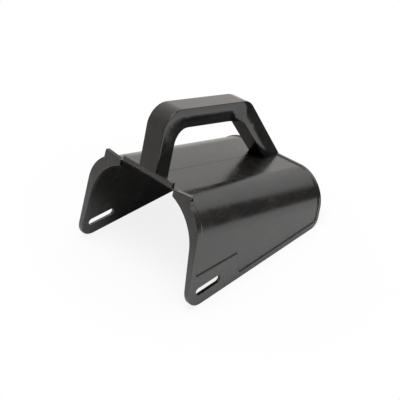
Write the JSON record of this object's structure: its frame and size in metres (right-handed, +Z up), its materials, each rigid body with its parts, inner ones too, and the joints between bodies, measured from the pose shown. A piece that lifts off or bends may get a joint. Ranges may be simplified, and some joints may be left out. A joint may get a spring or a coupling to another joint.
{
  "type": "arched cover hood with carrying handle",
  "caption": "Black moulded arched hood standing on the lower edges of its side walls, with a hollow carrying handle along its sloping crown and fixing slots near its front lower corners.",
  "frame": {"origin": "middle of the part's footprint, on the plane its two lower edges stand on", "axes": "+X runs from the tall open front to the low rear along the lower edges, +Y goes across to the side the handle screws enter from, +Z is up"},
  "size_m": [0.2254, 0.1764, 0.1782],
  "materials": {
    "hood_black": "satin black moulding",
    "handle_black": "satin black moulding",
    "screw_steel": "black oxide",
    "insert_brass": "turned"
  },
  "bodies": {
    "root": {"hood_shell": "hood_black", "handle_near_half": "handle_black", "handle_far_half": "handle_black", "side_screw_front_leg": "screw_steel", "side_screw_front_corner": "screw_steel", "side_screw_grip_end": "screw_steel", "side_screw_rear_leg": "screw_steel", "foot_screw_front_near": "screw_steel", "foot_screw_front_far": "screw_steel", "foot_screw_rear_near": "screw_steel", "foot_screw_rear_far": "screw_steel", "foot_washer_front_near": "screw_steel", "foot_washer_front_far": "screw_steel", "foot_washer_rear_near": "screw_steel", "foot_washer_rear_far": "screw_steel", "threaded_insert_front_near": "insert_brass", "threaded_insert_front_far": "insert_brass", "threaded_insert_rear_near": "insert_brass", "threaded_insert_rear_far": "insert_brass"}
  },
  "joints": []
}
